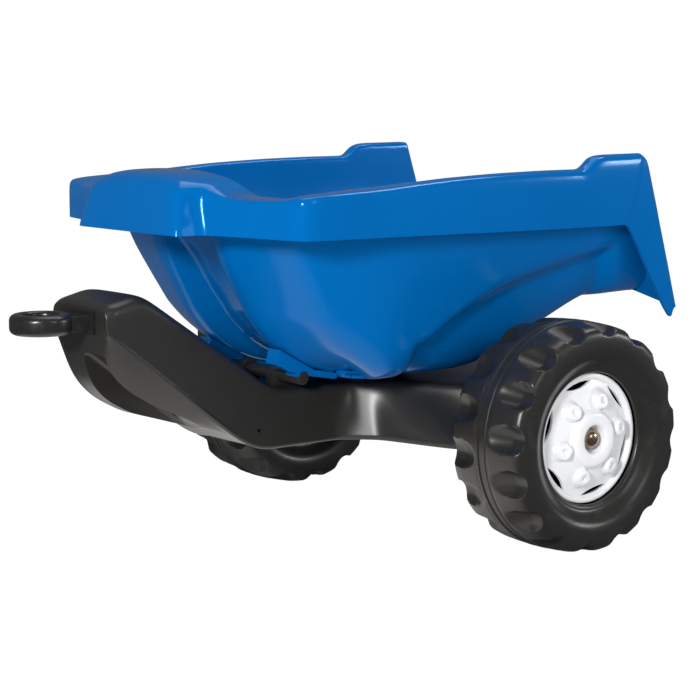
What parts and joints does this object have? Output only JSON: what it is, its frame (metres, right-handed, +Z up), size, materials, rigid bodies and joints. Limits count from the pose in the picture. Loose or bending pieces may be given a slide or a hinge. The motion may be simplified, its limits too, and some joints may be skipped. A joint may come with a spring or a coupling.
{
  "type": "toy tipping trailer",
  "caption": "Single-axle toy trailer for a ride-on tractor: a moulded drawbar frame with a hitch eye, lugged wheels on an axle and a tub that tips to the rear.",
  "frame": {"origin": "on the ground, under the middle of the overall length and width", "axes": "+X to the trailer's left, +Y to the tail, +Z up; the hitch eye is at -Y"},
  "size_m": [0.46, 0.569, 0.322],
  "materials": {
    "black_plastic": "satin moulded polyethylene",
    "hitch_black": "satin black",
    "tyre_black": "blow-moulded, satin",
    "blue_plastic": "glossy moulded",
    "white_plastic": "glossy moulded",
    "natural_nylon": "natural nylon",
    "zinc_steel": "bright zinc plated",
    "cap_metal": "yellow passivated steel"
  },
  "bodies": {
    "frame": {"chassis_frame": "black_plastic", "hitch_eye": "hitch_black", "hitch_screw": "zinc_steel", "axle": "zinc_steel", "axle_bush_left": "black_plastic", "axle_bush_right": "black_plastic", "spacer_left": "zinc_steel", "spacer_right": "zinc_steel", "end_washer_left": "zinc_steel", "end_washer_right": "zinc_steel", "axle_cap_left": "cap_metal", "axle_cap_right": "cap_metal", "pivot_cap_left": "zinc_steel", "pivot_cap_right": "zinc_steel", "pivot_rod": "zinc_steel", "rest_bar": "black_plastic"},
    "wheel_left": {"tyre_left": "tyre_black", "rim_left": "white_plastic", "inner_disc_left": "black_plastic", "hub_bush_left": "natural_nylon"},
    "wheel_right": {"tyre_right": "tyre_black", "rim_right": "white_plastic", "inner_disc_right": "black_plastic", "hub_bush_right": "natural_nylon"},
    "tub": {"tub": "blue_plastic", "pivot_bush_left": "natural_nylon", "pivot_bush_right": "natural_nylon"}
  },
  "joints": [
    {"name": "left_wheel_spin", "type": "hinge", "parent": "frame", "child": "wheel_left", "pos_m": [0.19, 0.1215, 0.095], "axis": [1, 0, 0], "continuous": true},
    {"name": "right_wheel_spin", "type": "hinge", "parent": "frame", "child": "wheel_right", "pos_m": [-0.19, 0.1215, 0.095], "axis": [1, 0, 0], "continuous": true},
    {"name": "tub_tip", "type": "hinge", "parent": "frame", "child": "tub", "pos_m": [0, 0.1615, 0.15], "axis": [-1, 0, 0], "range_deg": [0, 55]}
  ]
}
